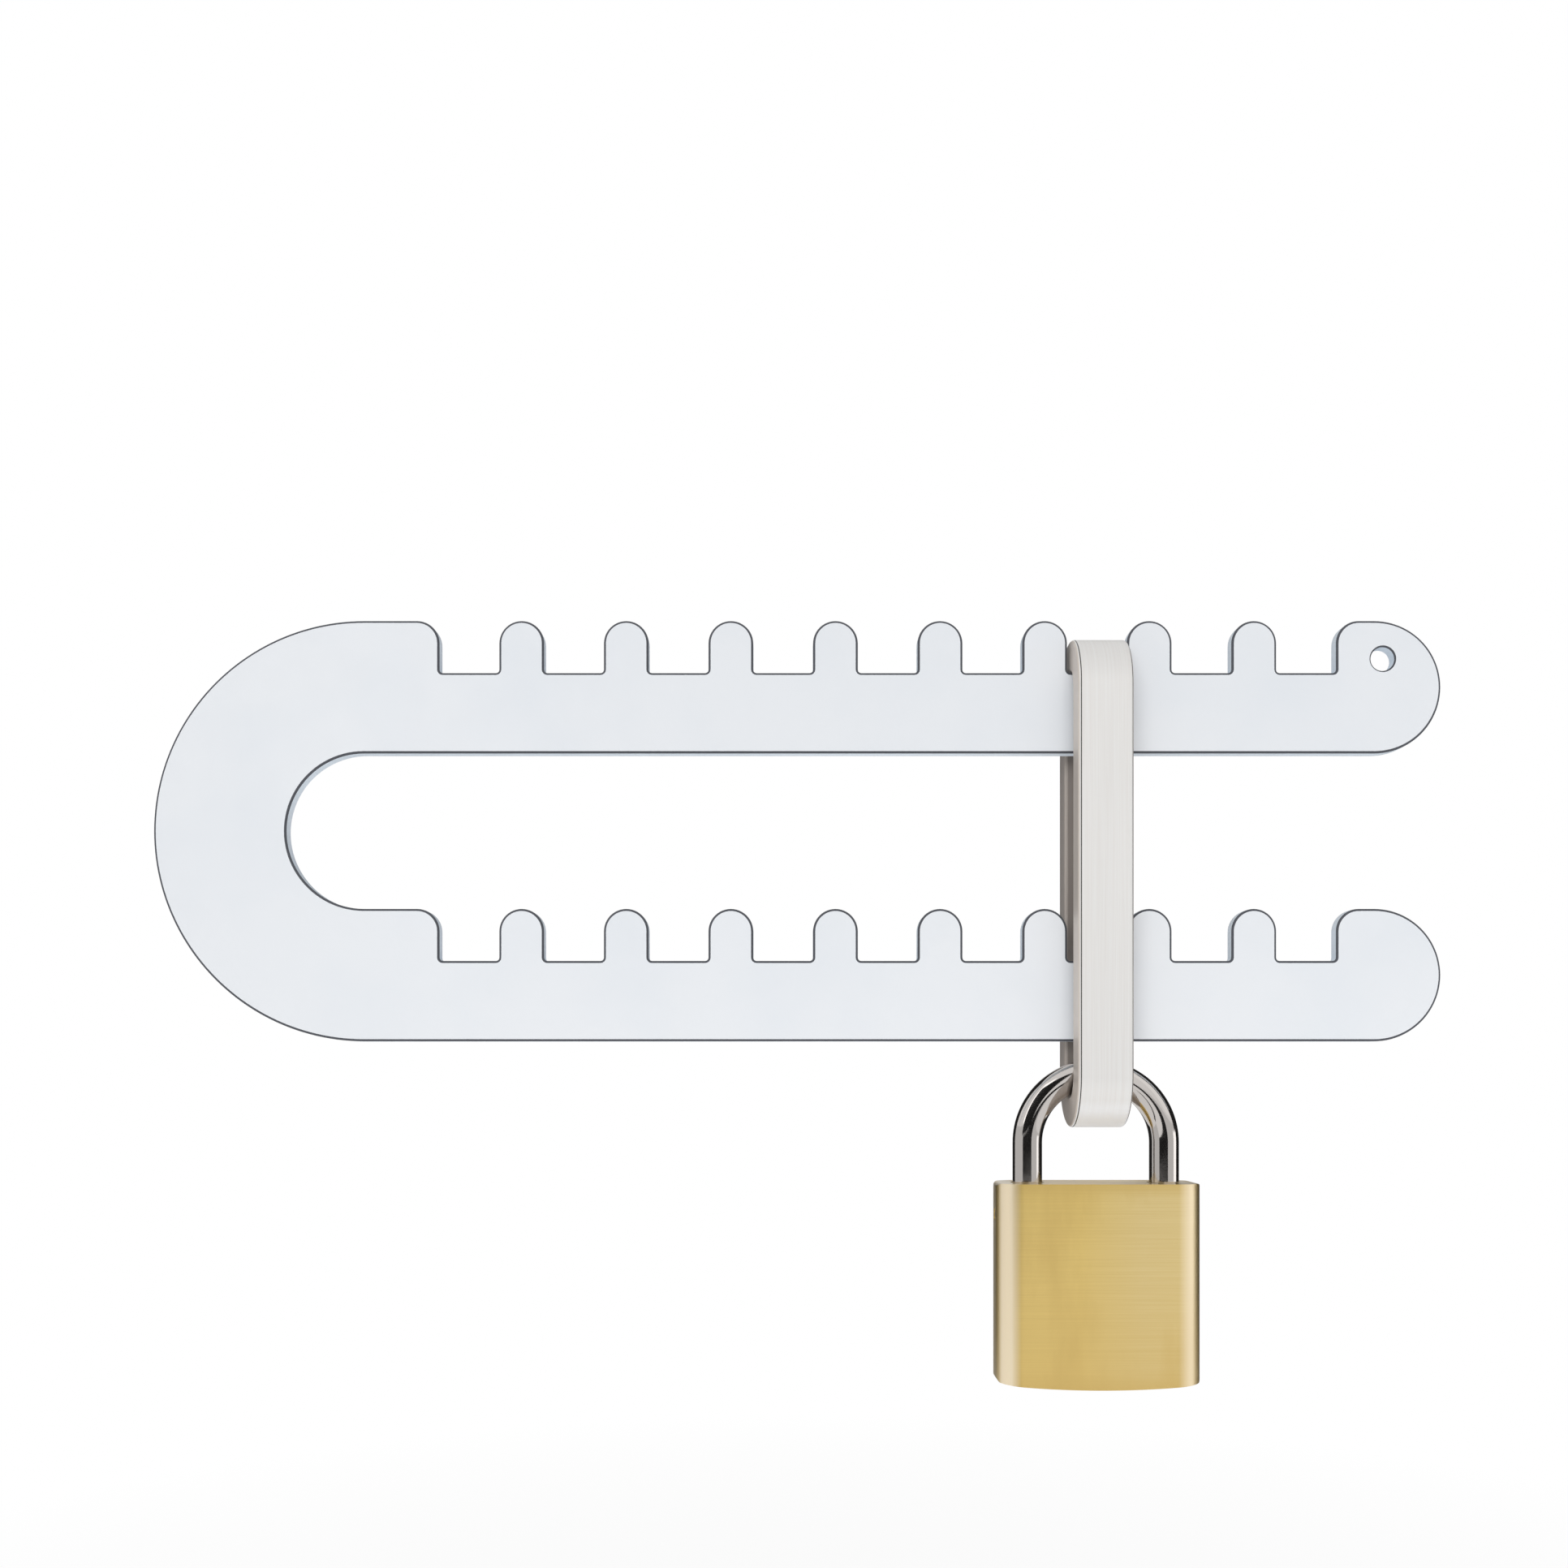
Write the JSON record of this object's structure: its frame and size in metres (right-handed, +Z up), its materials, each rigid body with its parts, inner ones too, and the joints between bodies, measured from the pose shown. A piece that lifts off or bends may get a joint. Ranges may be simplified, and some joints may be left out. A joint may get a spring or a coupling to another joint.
{
  "type": "double door handle lock",
  "caption": "U-shaped notched plate that goes round a pair of door pulls, closed by a sliding loop that a padlock holds in its notches.",
  "frame": {"origin": "middle of the upper arm's straight underside, halfway through the plate's thickness, where it rests on the door's pulls", "axes": "+X along the arms to their open end, the front faces -Y and the door lies at +Y, +Z up"},
  "size_m": [0.3806, 0.0314, 0.2262],
  "materials": {
    "plate_coating": "smooth pale powder coat",
    "loop_steel": "satin",
    "shackle_chrome": "polished plating",
    "case_brass": "finely brushed across",
    "inner_brass": "turned",
    "hard_steel": "hardened, ground",
    "spring_steel": "drawn wire"
  },
  "bodies": {
    "plate_body": {"u_plate": "plate_coating"},
    "loop_body": {"locking_loop": "loop_steel"},
    "shackle_body": {"shackle": "shackle_chrome"},
    "case_body": {"lock_case": "case_brass", "driver_pin_1": "inner_brass", "driver_pin_2": "inner_brass", "driver_pin_3": "inner_brass", "driver_pin_4": "inner_brass", "driver_pin_5": "inner_brass", "pin_spring_1": "spring_steel", "pin_spring_2": "spring_steel", "pin_spring_3": "spring_steel", "pin_spring_4": "spring_steel", "pin_spring_5": "spring_steel", "chamber_cap_1": "inner_brass", "chamber_cap_2": "inner_brass", "chamber_cap_3": "inner_brass", "chamber_cap_4": "inner_brass", "chamber_cap_5": "inner_brass", "shackle_spring": "spring_steel", "heel_stop_pin": "hard_steel", "plug_retaining_pin": "hard_steel", "latch_bore_cap": "inner_brass"},
    "plug_body": {"plug": "inner_brass", "actuator_cam": "hard_steel", "key_pin_1": "inner_brass", "key_pin_2": "inner_brass", "key_pin_3": "inner_brass", "key_pin_4": "inner_brass", "key_pin_5": "inner_brass"},
    "toe_latch_body": {"latch_toe": "hard_steel"},
    "heel_latch_body": {"latch_heel": "hard_steel"}
  },
  "joints": [
    {"name": "loop_lift", "type": "slide", "parent": "plate_body", "child": "loop_body", "axis": [0, 0, 1], "range_m": [0, 0.005]},
    {"name": "padlock_swing", "type": "hinge", "parent": "loop_body", "child": "shackle_body", "pos_m": [0.0674, 0, -0.09486], "axis": [1, 0, 0], "range_deg": [-90, 90]},
    {"name": "shackle_release", "type": "slide", "parent": "shackle_body", "child": "case_body", "axis": [0, 0, -1], "range_m": [0, 0.017], "deforming": ["shackle_spring"]},
    {"name": "plug_turn", "type": "hinge", "parent": "case_body", "child": "plug_body", "pos_m": [0.0674, 0, -0.17], "axis": [0, 0, -1], "range_deg": [0, 90]},
    {"name": "latch_toe_throw", "type": "slide", "parent": "case_body", "child": "toe_latch_body", "axis": [1, 0, 0], "range_m": [0, 0.00231]},
    {"name": "latch_heel_throw", "type": "slide", "parent": "case_body", "child": "heel_latch_body", "axis": [-1, 0, 0], "range_m": [0, 0.00231]}
  ],
  "couplings": [
    {"joint": "latch_toe_throw", "follows": "plug_turn", "m_per_rad": 0.001464},
    {"joint": "latch_heel_throw", "follows": "plug_turn", "m_per_rad": 0.001464}
  ]
}
